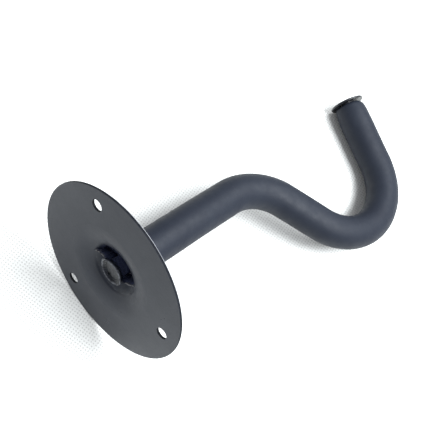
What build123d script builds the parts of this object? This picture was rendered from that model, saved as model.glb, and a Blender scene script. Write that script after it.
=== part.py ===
from build123d import *
import os
from math import cos, radians, sin

# Wall guitar hanger: a steel rod, bent into a hook and sleeved in foam, is welded into a round wall plate.
# Frame: millimetres, +Z up. The wall is the plane Y = 0 and lies on the +Y side, so the arm runs along -Y.
# The origin is the centre of the plate's wall face, and the whole hook lies in the plane X = 0.

# Wall plate: pressed sheet steel, with its centre drawn out into a cup towards the room.
plate_diameter = 75.0
sheet_thickness = 1.0
rim_rounding = 0.35  # broken edge all round the blanked disc
mouth_radius = 20.5  # where the flat wall face starts to curve into the cup
flare_radius = 20.0  # long, shallow curve of the cup's mouth
flare_angle = 26.5  # turn of the long curve, in degrees, before the tighter one
neck_radius = 3.8  # tight curve from the flare into the cup's wall
cup_corner_radius = 1.0
cup_depth = 7.0

# Screw holes, for three No. 8 (4 mm) wood screws.
screw_circle_diameter = 60.0
screw_hole_diameter = 5.0
screw_count = 3
first_screw_angle = 15.0  # from +X towards +Z

# Hook rod: one solid bar, bent twice in the plane X = 0.
rod_diameter = 8.0
rod_end_depth = 1.8  # the rod's end lies this far behind the wall face
arm_length = 66.4  # from the wall face to the first bend
bend_radius = 30.5  # to the rod's centreline, in both bends
drop_angle = 60.0  # the arm turns down by this much
drop_length = 20.4
hook_angle = 136.0  # the rod then turns up by this much
tip_length = 33.8  # from the second bend to the tip disc

# Foam sleeve over the rod.
foam_diameter = 16.0
foam_bore_clearance = 0.05
foam_end_gap = 0.2  # between the foam and the tip disc
foam_end_rounding = 2.2
foam_root_gap = 0.1  # between the foam and the plate's cup

# Tip disc: a thin dished disc, welded on the rod's end, that keeps the sleeve and the instrument on.
disc_diameter = 17.0
disc_thickness = 1.0
disc_rise = 0.5  # how far the disc's middle stands above its rim
disc_edge_rounding = 0.3

# Root weld: a bead round the rod's end, run out to the cup's wall over part of the turn.
bead_thickness = 1.0
bead_top_depth = 0.4  # the bead's crest lies this far behind the wall face
bead_rounding = 0.45
fill_inner_depth = 4.2  # depth of the fill's surface beside the bead
fill_outer_depth = 2.2  # and at its outer edge
fill_outer_radius = 12.0  # the outer edge lies inside the cup's wall, which trims it
fill_start_angle = 76.0  # from +X towards +Z
fill_arc = 188.0  # towards -Z

plate_radius = plate_diameter / 2
rod_radius = rod_diameter / 2
foam_radius = foam_diameter / 2
disc_radius = disc_diameter / 2
bead_radius = rod_radius + bead_thickness
boss_height = cup_depth + sheet_thickness


def bent_line(first_y, last_length):
    """The rod's centreline, from Y = first_y on the arm to last_length along the tip."""
    arm = Line((first_y, 0), (-arm_length, 0))
    drop_bend = JernArc(arm @ 1, arm % 1, bend_radius, drop_angle)
    drop = PolarLine(drop_bend @ 1, drop_length, direction=drop_bend % 1)
    hook_bend = JernArc(drop @ 1, drop % 1, bend_radius, -hook_angle)
    PolarLine(hook_bend @ 1, last_length, direction=hook_bend % 1)


def cup_line():
    """The wall side of the plate's cup, from the edge of the flat wall face down and in to the rod."""
    flare = JernArc((mouth_radius, 0), (-1, 0), flare_radius, flare_angle)
    neck = JernArc(flare @ 1, flare % 1, neck_radius, 90 - flare_angle)
    cup_radius = (neck @ 1).X
    cup_wall = Line(neck @ 1, (cup_radius, cup_corner_radius - cup_depth))
    corner = JernArc(cup_wall @ 1, cup_wall % 1, cup_corner_radius, -90)
    Line(corner @ 1, (rod_radius, -cup_depth))


def radial_plane(angle):
    """A plane that holds the Y axis, with its local x pointing out at this angle from +X towards +Z."""
    outwards = Vector(cos(radians(angle)), 0, sin(radians(angle)))
    return Plane(origin=(0, 0, 0), x_dir=outwards, z_dir=outwards.cross(Vector(0, 1, 0)))


# The plate is turned from one section: its wall side is drawn, and the sheet is laid on the room side of it.
with BuildPart() as wall_plate:
    with BuildSketch(Plane.XY):
        with BuildLine():
            Line((plate_radius, 0), (mouth_radius, 0))
            cup_line()
            offset(amount=sheet_thickness, side=Side.LEFT)
        make_face()
    revolve(axis=Axis.Y)
    circles = wall_plate.edges().filter_by(GeomType.CIRCLE).sort_by(SortBy.RADIUS)
    fillet(circles[-2:], rim_rounding)
    with BuildSketch(Plane.XZ):
        with PolarLocations(screw_circle_diameter / 2, screw_count, start_angle=first_screw_angle):
            Circle(screw_hole_diameter / 2)
    extrude(amount=2 * sheet_thickness, both=True, mode=Mode.SUBTRACT)

with BuildLine(Plane.YZ) as whole_line:
    bent_line(0, tip_length)
tip_centre = whole_line.wire() @ 1
tip_direction = whole_line.wire() % 1

# Tip disc: a shallow dome of even thickness. Its height is counted from the middle of its underside.
disc_axis = Axis(tip_centre, tip_direction)
disc_section = Plane(origin=tip_centre, x_dir=(1, 0, 0), z_dir=Vector(1, 0, 0).cross(tip_direction))
with BuildPart() as end_disc:
    with BuildSketch(disc_section):
        with BuildLine():
            ThreePointArc((-disc_radius, -disc_rise), (0, 0), (disc_radius, -disc_rise))
            offset(amount=disc_thickness, side=Side.LEFT)
        make_face()
        split(bisect_by=Plane.YZ)
    revolve(axis=disc_axis)
    fillet(end_disc.edges().filter_by(GeomType.CIRCLE), disc_edge_rounding)

# Hook rod: from its end in the plate's cup to the underside of the tip disc.
disc_sag_at_rod = disc_rise * (rod_radius / disc_radius) ** 2
with BuildPart() as hook_rod:
    with BuildLine(Plane.YZ):
        bent_line(-rod_end_depth, tip_length - disc_sag_at_rod)
    with BuildSketch(Plane.XZ.offset(rod_end_depth)):
        Circle(rod_radius)
    sweep()

# Foam sleeve: a tube from the plate's boss to just under the tip disc, rounded where it is pressed at the tip.
with BuildPart() as foam_sleeve:
    foam_start = boss_height + foam_root_gap
    with BuildLine(Plane.YZ):
        bent_line(-foam_start, tip_length - disc_rise - foam_end_gap)
    with BuildSketch(Plane.XZ.offset(foam_start)):
        Circle(foam_radius)
        Circle(rod_radius + foam_bore_clearance, mode=Mode.SUBTRACT)
    sweep()
    tip_edges = foam_sleeve.edges().filter_by(GeomType.CIRCLE).sort_by_distance(tip_centre)[:2]
    fillet(tip_edges.sort_by(SortBy.RADIUS)[-1], foam_end_rounding)

# Root weld: a full ring on the rod, and a fill that joins it to the cup's wall on the side where it was welded.
with BuildPart() as root_weld:
    with BuildSketch(radial_plane(fill_start_angle)):
        with BuildLine():
            cup_line()
            Polyline((rod_radius, -cup_depth), (rod_radius, 0), (mouth_radius, 0))
        make_face()
        with BuildLine():
            Polyline(
                (rod_radius, -fill_inner_depth),
                (bead_radius, -fill_inner_depth),
                (fill_outer_radius, -fill_outer_depth),
                (fill_outer_radius, -cup_depth),
                (rod_radius, -cup_depth),
                close=True,
            )
        make_face(mode=Mode.INTERSECT)
    revolve(axis=Axis.Y, revolution_arc=fill_arc)
    with BuildSketch(Plane.XY):
        with BuildLine():
            Polyline(
                (rod_radius, -bead_top_depth),
                (bead_radius, -bead_top_depth),
                (bead_radius, -cup_depth),
                (rod_radius, -cup_depth),
                close=True,
            )
        make_face()
    revolve(axis=Axis.Y)
    crest_edges = root_weld.edges().filter_by(GeomType.CIRCLE).group_by(Axis.Y)[-1]
    fillet(crest_edges, bead_rounding)

wall_plate.part.label = "wall_plate"
hook_rod.part.label = "hook_rod"
foam_sleeve.part.label = "foam_sleeve"
end_disc.part.label = "end_disc"
root_weld.part.label = "root_weld"

os.makedirs("parts", exist_ok=True)
export_step(wall_plate.part, "parts/wall_plate.step")
export_step(hook_rod.part, "parts/hook_rod.step")
export_step(foam_sleeve.part, "parts/foam_sleeve.step")
export_step(end_disc.part, "parts/end_disc.step")
export_step(root_weld.part, "parts/root_weld.step")
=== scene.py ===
import math

import bmesh
import bpy
from mathutils import Euler, Matrix, Vector, noise


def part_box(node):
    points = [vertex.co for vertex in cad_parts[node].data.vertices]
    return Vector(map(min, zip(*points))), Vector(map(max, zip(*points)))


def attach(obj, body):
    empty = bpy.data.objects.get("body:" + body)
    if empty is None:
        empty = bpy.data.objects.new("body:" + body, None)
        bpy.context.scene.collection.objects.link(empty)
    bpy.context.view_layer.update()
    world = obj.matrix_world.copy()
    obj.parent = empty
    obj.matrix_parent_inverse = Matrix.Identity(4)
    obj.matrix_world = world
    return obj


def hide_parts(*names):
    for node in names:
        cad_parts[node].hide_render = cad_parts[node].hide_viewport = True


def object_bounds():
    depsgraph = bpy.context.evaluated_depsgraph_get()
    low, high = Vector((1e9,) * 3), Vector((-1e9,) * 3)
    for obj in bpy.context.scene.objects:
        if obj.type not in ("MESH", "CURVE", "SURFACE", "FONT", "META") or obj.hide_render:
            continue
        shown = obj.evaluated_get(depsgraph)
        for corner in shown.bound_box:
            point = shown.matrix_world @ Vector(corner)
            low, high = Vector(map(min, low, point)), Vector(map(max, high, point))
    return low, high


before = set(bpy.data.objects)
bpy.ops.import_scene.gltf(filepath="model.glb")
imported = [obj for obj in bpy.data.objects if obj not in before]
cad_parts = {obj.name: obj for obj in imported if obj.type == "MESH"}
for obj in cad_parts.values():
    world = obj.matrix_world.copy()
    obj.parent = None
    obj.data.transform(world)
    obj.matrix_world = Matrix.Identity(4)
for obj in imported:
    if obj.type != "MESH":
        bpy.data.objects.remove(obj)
cad_low, cad_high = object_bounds()

# A wall guitar hanger, lying on its side on a white cloth and seen from behind its wall plate.
# Lengths are in metres, in the row frame: +Z up, wall face in Y = 0, arm along -Y, hook in X = 0.
# A depth is counted from the wall face towards the room, so it lies along -Y.

# Centreline of the bent rod, as in the CAD.
ARM_LENGTH = 0.0664
BEND_RADIUS = 0.0305
DROP_ANGLE = math.radians(60)
DROP_LENGTH = 0.0204
HOOK_ANGLE = math.radians(136)
TIP_LENGTH = 0.0338
LINE_STEP = 0.0006

# Sizes that are read from the CAD nodes.
rod_low, rod_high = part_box("hook_rod")
foam_low, foam_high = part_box("foam_sleeve")
plate_low, plate_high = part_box("wall_plate")
weld_low, weld_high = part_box("root_weld")
ROD_RADIUS = (rod_high.x - rod_low.x) / 2
ROD_END_DEPTH = -rod_high.y
FOAM_RADIUS = (foam_high.x - foam_low.x) / 2
FOAM_START = -foam_high.y
PLATE_RADIUS = (plate_high.x - plate_low.x) / 2
BEAD_RADIUS = -weld_low.x
BEAD_TOP = -weld_high.y
CUP_FLOOR = -weld_low.y

# Camera: it aims at a point in the hook's plane. The azimuth is counted from +X towards +Y.
CAMERA_AIM = Vector((0.0, -0.05592, -0.00318))
CAMERA_DISTANCE = 0.28555
CAMERA_AZIMUTH = math.radians(143.393)
CAMERA_ELEVATION = math.radians(-1.727)
CAMERA_ROLL = math.radians(-34.264)
CAMERA_LENS = 56.59
SENSOR_WIDTH = 36.0

# Lights: a large key over the cloth, and a smaller light over the hook's end that draws the foam's highlight.
LIGHT_AIM = Vector((0, -0.085, 0))
KEY_DIRECTION = (-1.02, -0.02, -0.38)
KEY_DISTANCE = 0.8
KEY_SIZE = 0.42
KEY_POWER = 12.4
RIM_DIRECTION = (-0.86, -0.50, 0.0)
RIM_DISTANCE = 0.5
RIM_SIZE = 0.25
RIM_POWER = 1.8
LIGHT_COLOUR = (0.93, 0.97, 1.0)
STUDIO_COLOUR = (0.95, 0.97, 1.0, 1.0)
STUDIO_STRENGTH = 0.5
BACKDROP_COLOUR = (1.0, 1.0, 1.0, 1.0)

# Cloth: how far it reaches from its middle, and how far it stays off the disc and the foam.
CLOTH_REACH = 0.9
DISC_GAP = 0.0002
FOAM_GAP = 0.0006


def blend(first, second, part):
    return first + (second - first) * part


def hump(value, middle, width):
    """A smooth hump: 1 at its middle, and falling away on both sides."""
    return math.exp(-(((value - middle) / width) ** 2))


# ------------------------------------------------------------------------------------------- materials


def grey(value):
    return (value, value, value, 1.0)


class Nodes:
    """A small helper that adds and links shader nodes in one node tree."""

    def __init__(self, name):
        self.material = bpy.data.materials.new(name)
        self.material.use_nodes = True
        self.tree = self.material.node_tree
        self.tree.nodes.clear()
        self.output = self.tree.nodes.new("ShaderNodeOutputMaterial")
        self.coordinates = self.tree.nodes.new("ShaderNodeTexCoord").outputs["Object"]

    def add(self, kind, inputs=None, **settings):
        node = self.tree.nodes.new(kind)
        for key, value in settings.items():
            setattr(node, key, value)
        for key, value in (inputs or {}).items():
            self.put(node.inputs[key], value)
        return node

    def put(self, socket, value):
        """Link an output to the socket, or set the socket's own value."""
        if isinstance(value, bpy.types.NodeSocket):
            self.tree.links.new(value, socket)
        else:
            socket.default_value = value

    def noise(self, scale, detail=3.0, roughness=0.5):
        inputs = {"Vector": self.coordinates, "Scale": scale, "Detail": detail, "Roughness": roughness}
        return self.add("ShaderNodeTexNoise", inputs).outputs["Fac"]

    def voronoi(self, scale):
        inputs = {"Vector": self.coordinates, "Scale": scale}
        return self.add("ShaderNodeTexVoronoi", inputs).outputs["Distance"]

    def ramp(self, source, *stops):
        """A colour ramp. Each stop is (position, grey) or (position, (red, green, blue))."""
        node = self.add("ShaderNodeValToRGB", {"Fac": source})
        elements = node.color_ramp.elements
        while len(elements) < len(stops):
            elements.new(0.5)
        for element, (position, colour) in zip(elements, stops):
            element.position = position
            element.color = (*colour, 1.0) if isinstance(colour, tuple) else grey(colour)
        return node.outputs["Color"]

    def radius(self):
        """The distance to the rod's axis in the plate, from the object's own coordinates."""
        inputs = {0: self.coordinates, 1: (1, 0, 1)}
        flat = self.add("ShaderNodeVectorMath", inputs, operation="MULTIPLY").outputs[0]
        return self.add("ShaderNodeVectorMath", {0: flat}, operation="LENGTH").outputs["Value"]

    def depth(self):
        """The depth behind the wall face, from the object's own coordinates."""
        along = self.add("ShaderNodeSeparateXYZ", {"Vector": self.coordinates}).outputs["Y"]
        return self.add("ShaderNodeMath", {0: along, 1: -1.0}, operation="MULTIPLY").outputs[0]

    def facing(self):
        """How far the surface faces the wall: 1 towards the wall, -1 towards the room."""
        normal = self.add("ShaderNodeTexCoord").outputs["Normal"]
        return self.add("ShaderNodeSeparateXYZ", {"Vector": normal}).outputs["Y"]

    def map_range(self, value, start, end):
        """0 at start and 1 at end, held outside them."""
        inputs = {"Value": value, "From Min": start, "From Max": end}
        return self.add("ShaderNodeMapRange", inputs, clamp=True).outputs["Result"]

    def mix(self, factor, first, second, blend_type="MIX"):
        """A Mix node for colours, whose factor and colours are its sockets 0, 6 and 7."""
        node = self.add("ShaderNodeMix", data_type="RGBA", blend_type=blend_type)
        for index, value in ((0, factor), (6, first), (7, second)):
            self.put(node.inputs[index], value)
        return node.outputs[2]

    def both(self, first, second):
        """The product of two masks."""
        return self.mix(1.0, first, second, "MULTIPLY")

    def bump(self, height, distance, strength, normal=None):
        inputs = {"Height": height, "Distance": distance, "Strength": strength}
        if normal:
            inputs["Normal"] = normal
        return self.add("ShaderNodeBump", inputs).outputs["Normal"]

    def dusty(self, tone, dust):
        """A colour with a few small specks of dust in it."""
        specks = self.ramp(self.noise(scale=2600, detail=2), (0.70, 0.0), (0.76, 1.0))
        return self.mix(specks, tone, dust)

    def uneven_gloss(self, low, high):
        """Roughness that drifts between two values."""
        return self.ramp(self.noise(scale=180, detail=5, roughness=0.65), (0.3, low), (0.7, high))

    def orange_peel(self, height):
        """The fine ripples of sprayed paint, over broader waves."""
        fine = self.bump(self.noise(scale=900), distance=height, strength=0.5)
        return self.bump(self.noise(scale=45, detail=2), distance=height * 6, strength=0.4, normal=fine)

    def finish(self, **inputs):
        """Put a Principled shader on the surface. An input's name has _ for each space."""
        inputs = {key.replace("_", " "): value for key, value in inputs.items()}
        shader = self.add("ShaderNodeBsdfPrincipled", inputs)
        self.tree.links.new(shader.outputs["BSDF"], self.output.inputs["Surface"])
        return self.material


def paint_material(name, grain, dark, light, roughness, peel):
    """Sprayed black paint on steel. Its tone drifts between two colours, with this many grains per metre."""
    n = Nodes(name)
    tone = n.ramp(n.noise(scale=grain, detail=4), (0.3, dark), (0.7, light))
    return n.finish(
        Base_Color=n.dusty(tone, (0.03, 0.03, 0.034, 1.0)),
        Roughness=n.uneven_gloss(*roughness),
        Normal=n.orange_peel(peel),
        Specular_IOR_Level=0.5,
    )


def rod_material():
    return paint_material(
        "rod_paint",
        grain=1300,
        dark=(0.006, 0.007, 0.010),
        light=(0.026, 0.029, 0.038),
        roughness=(0.30, 0.50),
        peel=0.0004,
    )


def disc_material():
    return paint_material(
        "disc_paint",
        grain=60,
        dark=(0.008, 0.009, 0.012),
        light=(0.011, 0.012, 0.016),
        roughness=(0.32, 0.40),
        peel=0.00001,
    )


def plate_material():
    """Black paint on the plate, with painted blue shade in the cup, darker on sheared edges, and a painted
    highlight on the rim.
    """
    n = Nodes("plate_paint")
    radius, depth, facing = n.radius(), n.depth(), n.facing()

    # Edges that face neither the wall nor the room, on the rim and in the screw holes.
    upright = n.both(n.map_range(facing, start=0.75, end=0.35), n.map_range(facing, start=-0.30, end=-0.10))
    sheared = n.both(upright, n.map_range(radius, start=0.021, end=0.022))

    # Painted highlight: the broken edge of the rim, on the room side, is coloured light grey for the bright
    # line along it.
    rim = n.map_range(radius, start=PLATE_RADIUS - 0.0005, end=PLATE_RADIUS - 0.0003)
    painted_highlight = n.both(n.map_range(facing, start=-0.10, end=-0.30), rim)

    # Painted shade: the cup's steep wall and floor, on the wall side only, take the light blue that the
    # shaded pocket shows.
    deep = n.both(n.map_range(depth, start=0.0030, end=0.0045), n.map_range(radius, start=0.0104, end=0.0101))
    cup = n.both(deep, n.map_range(facing, start=-0.5, end=-0.2))

    tone = n.ramp(n.noise(scale=60, detail=4), (0.3, (0.015, 0.019, 0.030)), (0.7, (0.021, 0.025, 0.037)))
    # Painted shade: the blue of the shaded pocket, put into the cup's colour.
    tone = n.mix(cup, tone, (0.055, 0.066, 0.120, 1.0))
    tone = n.dusty(tone, (0.06, 0.06, 0.065, 1.0))
    patches = n.noise(scale=700, detail=4, roughness=0.7)
    # A darker tone for the sheared edges.
    dark_edge_tone = n.ramp(patches, (0.45, (0.003, 0.004, 0.006)), (0.80, (0.030, 0.030, 0.032)))
    # The light grey of the painted highlight on the rim's edge.
    highlight_grey = n.ramp(n.noise(scale=500), (0.3, (0.24, 0.25, 0.27)), (0.7, (0.42, 0.43, 0.46)))

    room_side = n.map_range(facing, start=-0.5, end=-0.8)
    satin = n.mix(room_side, n.uneven_gloss(0.27, 0.36), n.uneven_gloss(0.50, 0.62))
    return n.finish(
        Base_Color=n.mix(painted_highlight, n.mix(sheared, tone, dark_edge_tone), highlight_grey),
        Roughness=n.mix(sheared, satin, grey(1.0)),
        Normal=n.orange_peel(0.00004),
        Specular_IOR_Level=0.25,
    )


def weld_material():
    """Paint over the root weld: glossy on the bead, with a painted highlight on its crest and painted blue
    shade deep in the pocket, and dull on the sooty fill.
    """
    n = Nodes("weld_paint")
    radius, depth = n.radius(), n.depth()
    # Painted shade: the light blue that the shaded pocket shows.
    pocket_shade_blue = (0.050, 0.060, 0.110, 1.0)

    fill = n.map_range(radius, start=0.0062, end=0.0070)
    crest = n.map_range(depth, start=BEAD_TOP + 0.0005, end=BEAD_TOP + 0.0002)
    lips = n.both(n.map_range(depth, start=0.0028, end=0.0021), n.map_range(radius, start=0.0112, end=0.0104))
    # The fill's steep faces, which lie in the pocket's shade.
    steep = n.map_range(n.facing(), start=0.50, end=0.25)

    bead = n.ramp(n.noise(scale=500, detail=4), (0.35, (0.007, 0.009, 0.014)), (0.65, (0.014, 0.017, 0.025)))
    # Painted shade: the bead deep in the pocket takes the pocket's blue.
    bead = n.mix(n.map_range(depth, start=0.0018, end=0.0028), bead, pocket_shade_blue)
    # Painted highlight: a light grey on the bead's crest stands in for the bright line that the crest
    # catches.
    painted_highlight = n.ramp(n.noise(scale=450), (0.35, (0.03, 0.03, 0.04)), (0.65, (0.16, 0.17, 0.19)))
    bead = n.mix(crest, bead, painted_highlight)

    stains = n.noise(scale=300, detail=5, roughness=0.65)
    soot_and_shade = n.ramp(stains, (0.35, (0.010, 0.014, 0.024)), (0.7, (0.017, 0.022, 0.036)))
    # Painted shade: the fill's steep faces take the pocket's blue.
    soot_and_shade = n.mix(steep, soot_and_shade, pocket_shade_blue)
    mottled = n.ramp(n.noise(scale=1200), (0.4, (0.05, 0.05, 0.06)), (0.6, (0.26, 0.26, 0.27)))
    soot_and_shade = n.mix(lips, soot_and_shade, mottled)

    glossy = n.ramp(n.noise(scale=900, detail=4), (0.3, 0.16), (0.7, 0.34))
    dull = n.ramp(n.noise(scale=400, detail=4), (0.3, 0.55), (0.7, 0.75))
    dull = n.mix(n.map_range(radius, start=0.0085, end=0.0105), dull, grey(0.40))
    return n.finish(
        Base_Color=n.mix(fill, bead, soot_and_shade),
        Roughness=n.mix(fill, glossy, dull),
        Normal=n.bump(n.noise(scale=1400, detail=4, roughness=0.6), distance=0.00012, strength=0.6),
        Specular_IOR_Level=0.3,
    )


def foam_material():
    """Closed-cell foam with a smooth extruded skin: fine pores, soft tone drift and a matte sheen."""
    n = Nodes("foam_skin")
    drift = n.noise(scale=70, detail=5, roughness=0.6)
    tone = n.ramp(drift, (0.3, (0.010, 0.013, 0.022)), (0.7, (0.014, 0.018, 0.028)))
    pores = n.ramp(n.voronoi(scale=2200), (0.05, 0.0), (0.35, 1.0))
    cells = n.bump(n.voronoi(scale=1500), distance=0.00006, strength=0.4)
    creases = n.noise(scale=500, detail=4, roughness=0.6)
    return n.finish(
        Base_Color=n.mix(pores, (0.007, 0.009, 0.015, 1.0), tone),
        Roughness=n.ramp(n.noise(scale=300, detail=4), (0.3, 0.52), (0.7, 0.64)),
        Normal=n.bump(creases, distance=0.00012, strength=0.35, normal=cells),
        Specular_IOR_Level=0.24,
    )


def cloth_material():
    """White dimpled cloth. It shows only from its upper side, so it never hides the object."""
    n = Nodes("stage_cloth")
    turned = n.add("ShaderNodeMapping", {"Vector": n.coordinates, "Rotation": (0, 0, math.radians(70))})
    pattern = {"Vector": turned.outputs[0], "Scale": 780, "Randomness": 0.12}
    cells = n.add("ShaderNodeTexVoronoi", pattern)
    dimples = n.ramp(cells.outputs["Distance"], (0.16, 1.0), (0.34, 0.0))
    look = {
        "Base Color": n.mix(dimples, (0.82, 0.82, 0.80, 1.0), (0.62, 0.62, 0.60, 1.0)),
        "Roughness": 0.9,
        "Normal": n.bump(dimples, distance=0.0002, strength=0.5),
        "Specular IOR Level": 0.1,
    }
    shader = n.add("ShaderNodeBsdfPrincipled", look)
    clear = n.add("ShaderNodeBsdfTransparent")
    underside = n.add("ShaderNodeNewGeometry").outputs["Backfacing"]
    one_sided = n.add("ShaderNodeMixShader", {0: underside, 1: shader.outputs[0], 2: clear.outputs[0]})
    n.tree.links.new(one_sided.outputs[0], n.output.inputs["Surface"])
    return n.material


def paint_cad_nodes():
    """The plate, the rod and the tip disc keep their CAD shape, and only get their paint."""
    paints = (("wall_plate", plate_material()), ("hook_rod", rod_material()), ("end_disc", disc_material()))
    for node, material in paints:
        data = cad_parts[node].data
        data.materials.clear()
        data.materials.append(material)


# --------------------------------------------------------------------------------------------- meshes


def add_rings(mesh, rings, ends):
    """Join equal rings of points, each to the next. The ends are "joined" to each other or "capped"."""
    rows = [[mesh.verts.new(p) for p in ring] for ring in rings]
    size = len(rows[0])
    pairs = list(zip(rows, rows[1:]))
    if ends == "joined":
        pairs.append((rows[-1], rows[0]))
    else:
        mesh.faces.new(rows[0])
        mesh.faces.new(rows[-1])
    for first, second in pairs:
        for i in range(size):
            j = (i + 1) % size
            mesh.faces.new((first[i], first[j], second[j], second[i]))


def mesh_piece(name, mesh, material, replaced):
    """A smooth-shaded piece of the object from a bmesh. It stands for one CAD node."""
    bmesh.ops.recalc_face_normals(mesh, faces=mesh.faces)
    data = bpy.data.meshes.new(name)
    mesh.to_mesh(data)
    mesh.free()
    data.materials.append(material)
    data.shade_smooth()
    piece = bpy.data.objects.new(name, data)
    bpy.context.scene.collection.objects.link(piece)
    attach(piece, "root")
    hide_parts(replaced)
    return piece


def centreline():
    """The rod's centreline as (length so far, point, heading), from the wall face to the tip disc."""
    pieces = (
        (ARM_LENGTH, 0.0),
        (BEND_RADIUS * DROP_ANGLE, DROP_ANGLE),
        (DROP_LENGTH, 0.0),
        (BEND_RADIUS * HOOK_ANGLE, -HOOK_ANGLE),
        (TIP_LENGTH, 0.0),
    )
    total = sum(length for length, _ in pieces)
    count = round(total / LINE_STEP)
    points = []
    for i in range(count + 1):
        left = total * i / count
        y, z, heading = 0.0, 0.0, math.pi
        for length, turn in pieces:
            run = min(left, length)
            if turn:
                side = math.copysign(1, turn)
                swept = side * run / BEND_RADIUS
                y += BEND_RADIUS * side * (math.sin(heading + swept) - math.sin(heading))
                z += BEND_RADIUS * side * (math.cos(heading) - math.cos(heading + swept))
                heading += swept
            else:
                y += run * math.cos(heading)
                z += run * math.sin(heading)
            left -= run
            if left <= 0:
                break
        points.append((total * i / count, Vector((0, y, z)), heading))
    return total, points


def foam_radius_at(centre, outwards, to_tip):
    """The foam's outer radius. It is rounded and drawn in at the tip, and slightly uneven all along."""
    room_rounding, wall_rounding = 0.0044, 0.0014
    wall_side = 0.5 + 0.5 * outwards.y
    room_side = 1 - wall_side
    rounding = blend(room_rounding, wall_rounding, wall_side)
    round_in = rounding - math.sqrt(rounding**2 - max(0.0, rounding - to_tip) ** 2)
    taper = 0.0013 * wall_side * hump(to_tip, middle=0, width=0.0055)
    swell = 0.0003 * room_side * hump(to_tip, middle=0.012, width=0.014)
    drift = 0.00012 * noise.noise(centre * 60 + outwards * 0.6)
    dents = 0.00004 * noise.noise((centre + outwards * FOAM_RADIUS) * 260)
    return FOAM_RADIUS + drift + dents + swell - round_in - taper


def foam_sleeve(material):
    """The foam tube: not quite round, drawn in under the tip disc, and cut square at the plate."""
    sides = 96
    tip_gap = 0.0006
    bore_radius = ROD_RADIUS + 0.00005
    total, points = centreline()
    last = total - tip_gap
    outside, inside = [], []
    for s, centre, heading in points:
        if s < FOAM_START or s > last:
            continue
        across = Vector((0, -math.sin(heading), math.cos(heading)))
        outer_ring, inner_ring = [], []
        for k in range(sides):
            angle = math.tau * k / sides
            outwards = Vector((math.cos(angle), 0, 0)) + across * math.sin(angle)
            outer_ring.append(centre + outwards * foam_radius_at(centre, outwards, last - s))
            inner_ring.append(centre + outwards * bore_radius)
        outside.append(outer_ring)
        inside.append(inner_ring)
    mesh = bmesh.new()
    add_rings(mesh, outside + inside[::-1], "joined")
    piece = mesh_piece("foam_tube", mesh, material, "foam_sleeve")


# ------------------------------------------------------------------------------------------ root weld


def at_depth(radius, angle, depth):
    """A point from its distance to the rod's axis, its angle from +X towards +Z, and its depth."""
    return Vector((radius * math.cos(angle), -depth, radius * math.sin(angle)))


def catmull_rom(before, start, end, after, t):
    """The value at t (0 to 1) on a smooth curve from start to end, with the values before and after them."""
    slope = end - before
    turn = 2 * before - 5 * start + 4 * end - after
    twist = 3 * (start - end) + after - before
    return start + 0.5 * t * (slope + t * (turn + t * twist))


def smooth_line(points, steps):
    """A smooth curve through an open list of (radius, depth) points."""
    ends = [points[0], *points, points[-1]]
    line = []
    for four in zip(ends, ends[1:], ends[2:], ends[3:]):
        for k in range(steps):
            line.append(tuple(catmull_rom(*values, k / steps) for values in zip(*four)))
    line.append(points[-1])
    return line


def bead_section():
    """The bead's section as (radius, depth) points: up the rod, over a crater and the crest, and back."""
    return [
        (ROD_RADIUS - 0.0001, CUP_FLOOR - 0.0001),
        (ROD_RADIUS - 0.0001, ROD_END_DEPTH + 0.0005),
        (ROD_RADIUS - 0.0005, ROD_END_DEPTH),
        (ROD_RADIUS, BEAD_TOP + 0.0009),
        (ROD_RADIUS + 0.0005, BEAD_TOP + 0.0002),
        (BEAD_RADIUS - 0.0002, BEAD_TOP),
        (BEAD_RADIUS + 0.0001, BEAD_TOP + 0.0002),
        (BEAD_RADIUS + 0.0003, BEAD_TOP + 0.0007),
        (BEAD_RADIUS + 0.0001, ROD_END_DEPTH),
        (ROD_RADIUS + 0.0005, ROD_END_DEPTH + 0.0010),
        (ROD_RADIUS + 0.0002, ROD_END_DEPTH + 0.0026),
        (ROD_RADIUS + 0.0001, CUP_FLOOR - 0.0001),
    ]


def weld_ring(mesh):
    """The bead round the rod's end. Its crest is rippled, and it bulges out in two places."""
    turns = 240
    crest_height = 0.0022
    ripple_sink, swell_sink, swell_out = 0.00025, 0.00020, 0.00014
    lump_size = 0.00004
    bulge_spread = 0.45
    bulges = ((math.radians(-88), 0.0007), (math.radians(100), 0.0010))
    section = smooth_line(bead_section(), steps=5)
    rings = []
    for k in range(turns):
        angle = math.tau * k / turns - math.pi
        place = Vector((math.cos(angle), 0, math.sin(angle)))
        swell = noise.noise(place * 2.2 + Vector((0, 3.1, 0)))
        ripple = noise.noise(place * 7.0)
        bulge = sum(size * hump(angle, middle, bulge_spread) for middle, size in bulges)
        ring = []
        for radius, depth in section:
            near_top = max(0.0, 1 - (depth - BEAD_TOP) / crest_height)
            sink = near_top * (ripple_sink * abs(ripple) + swell_sink * abs(swell))
            lumps = lump_size * noise.noise(at_depth(radius, angle, depth) * 900)
            out = near_top * (swell_out * swell + bulge) + lumps
            ring.append(at_depth(radius + out, angle, depth + sink))
        rings.append(ring)
    add_rings(mesh, rings, "joined")


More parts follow.
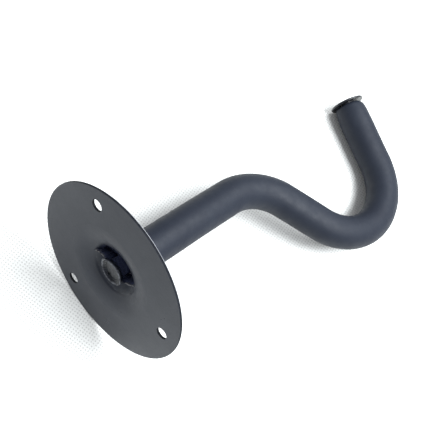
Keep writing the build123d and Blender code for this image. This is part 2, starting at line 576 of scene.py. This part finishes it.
def weld_fill(mesh):
    """The fill between the bead and the cup's wall, on +X. Its middle is deep, and its ends are ragged."""
    columns, rows = 120, 24
    inner_radius, outer_radius, floor_radius = ROD_RADIUS + 0.0003, 0.0118, 0.0092
    end_depth, middle_depth, outer_depth = 0.0020, 0.0062, 0.0021
    underside_depth = CUP_FLOOR - 0.0003
    first_inner, first_outer = math.radians(-101), math.radians(-130)
    last_inner, last_outer = math.radians(99), math.radians(73)
    slope_length = 0.0010
    lip_height, lip_width = 0.0004, 0.0004
    end_drop = 0.0009
    ragged_size, ragged_length = 0.0008, 0.001
    broad_lump, fine_lump = 0.00010, 0.00003
    rings = []
    for i in range(columns + 1):
        part = i / columns
        end_side = 1 if part > 0.5 else -1
        top, bottom = [], []
        for j in range(rows + 1):
            out = j / rows
            radius = blend(inner_radius, outer_radius, out)
            first = blend(first_inner, first_outer, out)
            last = blend(last_inner, last_outer, out)
            to_end = min(part, 1 - part) * (last - first) * radius
            ragged = ragged_size * noise.noise(Vector((radius * 900, end_side * 5.0, 0)))
            angle = blend(first, last, part) + end_side * ragged * math.exp(-to_end / ragged_length) / radius
            inner_depth = blend(middle_depth, end_depth, hump(to_end, 0, slope_length))
            lip = lip_height * hump(to_end, lip_width, lip_width) * (1 - out**3)
            drop = end_drop * max(0.0, 1 - to_end / lip_width) ** 2
            place = at_depth(radius, angle, 0)
            lumps = broad_lump * noise.noise(place * 380) + fine_lump * noise.noise(place * 1600)
            depth = blend(inner_depth, outer_depth, out) - lip + drop + lumps * (1 - out**4)
            top.append(at_depth(radius, angle, depth))
            bottom.append(at_depth(blend(inner_radius, floor_radius, out), angle, underside_depth))
        rings.append(top + bottom[::-1])
    add_rings(mesh, rings, "capped")


def spatter(mesh, x, z, depth, size):
    """One small drop of weld spatter, a little flattened and uneven."""
    flattening, unevenness = 0.8, 0.18
    centre = Vector((x, -depth, z))
    drop = bmesh.ops.create_icosphere(mesh, subdivisions=3, radius=size)
    for vertex in drop["verts"]:
        uneven = 1 + unevenness * noise.noise(vertex.co * (1.6 / size) + centre * 1000)
        vertex.co = centre + Vector((vertex.co.x, vertex.co.y * flattening, vertex.co.z)) * uneven


def root_weld(material):
    mesh = bmesh.new()
    weld_ring(mesh)
    weld_fill(mesh)
    spatter(mesh, x=0.0010, z=0.0090, depth=0.0032, size=0.00045)
    spatter(mesh, x=-0.0035, z=-0.0071, depth=0.0030, size=0.00038)
    spatter(mesh, x=0.0037, z=0.0003, depth=0.0012, size=0.00042)
    mesh_piece("weld_bead", mesh, material, "root_weld")


# ---------------------------------------------------------------------------------------------- stage


def resting_plane():
    """The plane x = a + b y + c z that the object lies on, by its rim, its tip disc and the hook's side.

    Each round finds the hook's lowest point over the last plane, and then the plane under all three."""
    disc_low, disc_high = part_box("end_disc")
    disc = (disc_low + disc_high) / 2
    _, points = centreline()
    rounds = 10
    b, c = 0.2, 0.0
    for _ in range(rounds):
        hook = min((point for _, point, _ in points), key=lambda p: b * p.y + c * p.z)
        a = PLATE_RADIUS * math.sqrt(1 + c**2)
        disc_fall = disc_high.x + DISC_GAP - a
        hook_fall = FOAM_RADIUS + FOAM_GAP - a
        scale = disc.y * hook.z - hook.y * disc.z
        b = (disc_fall * hook.z - hook_fall * disc.z) / scale
        c = (disc.y * hook_fall - hook.y * disc_fall) / scale
    return a, b, c


def make_cloth():
    """The white cloth that the object lies on its side on."""
    a, b, c = resting_plane()
    middle_y = (cad_low.y + cad_high.y) / 2
    corners = [(u * CLOTH_REACH, v * CLOTH_REACH, 0) for u, v in ((-1, -1), (1, -1), (1, 1), (-1, 1))]
    data = bpy.data.meshes.new("stage_cloth")
    data.from_pydata(corners, [], [(0, 1, 2, 3)])
    data.update()
    data.materials.append(cloth_material())
    cloth = bpy.data.objects.new("stage_cloth", data)
    along = Vector((b, 1, 0)).normalized()
    normal = Vector((-1, b, c)).normalized()
    axes = Matrix((along, normal.cross(along), normal)).transposed().to_4x4()
    cloth.matrix_world = Matrix.Translation((a + b * middle_y, middle_y, 0)) @ axes
    bpy.context.scene.collection.objects.link(cloth)


def area_light(name, direction, distance, size, power):
    """A square softbox that faces the middle of the object."""
    light = bpy.data.objects.new(name, bpy.data.lights.new(name, "AREA"))
    light.data.size = size
    light.data.energy = power
    light.data.color = LIGHT_COLOUR
    direction = Vector(direction).normalized()
    light.location = LIGHT_AIM + direction * distance
    light.rotation_mode = "QUATERNION"
    light.rotation_quaternion = direction.to_track_quat("Z", "Y")
    bpy.context.scene.collection.objects.link(light)


def make_studio():
    """A dim grey studio. Where the camera looks past the cloth, it sees a white backdrop."""
    world = bpy.data.worlds.new("studio")
    bpy.context.scene.world = world
    world.use_nodes = True
    nodes, links = world.node_tree.nodes, world.node_tree.links
    studio = nodes["Background"]
    studio.inputs["Color"].default_value = STUDIO_COLOUR
    studio.inputs["Strength"].default_value = STUDIO_STRENGTH
    backdrop = nodes.new("ShaderNodeBackground")
    backdrop.inputs["Color"].default_value = BACKDROP_COLOUR
    either = nodes.new("ShaderNodeMixShader")
    links.new(nodes.new("ShaderNodeLightPath").outputs["Is Camera Ray"], either.inputs[0])
    links.new(studio.outputs[0], either.inputs[1])
    links.new(backdrop.outputs[0], either.inputs[2])
    links.new(either.outputs[0], nodes["World Output"].inputs["Surface"])


def make_camera():
    """A camera at the viewing angle of the picture, from behind the plate and rolled."""
    tilt = math.radians(90) - CAMERA_ELEVATION
    facing = Euler((tilt, 0, math.radians(90) + CAMERA_AZIMUTH)).to_matrix().to_4x4()
    camera = bpy.data.objects.new("camera", bpy.data.cameras.new("camera"))
    camera.matrix_world = (
        Matrix.Translation(CAMERA_AIM)
        @ facing
        @ Matrix.Rotation(CAMERA_ROLL, 4, "Z")
        @ Matrix.Translation((0, 0, CAMERA_DISTANCE))
    )
    camera.data.sensor_width = SENSOR_WIDTH
    camera.data.lens = CAMERA_LENS
    camera.data.clip_start = 0.01
    camera.data.clip_end = 20.0
    bpy.context.scene.collection.objects.link(camera)
    bpy.context.scene.camera = camera


paint_cad_nodes()
foam_sleeve(foam_material())
root_weld(weld_material())
make_cloth()
make_studio()
area_light("key", KEY_DIRECTION, KEY_DISTANCE, KEY_SIZE, KEY_POWER)
area_light("rim", RIM_DIRECTION, RIM_DISTANCE, RIM_SIZE, RIM_POWER)
make_camera()
bpy.context.scene.view_settings.view_transform = "Standard"
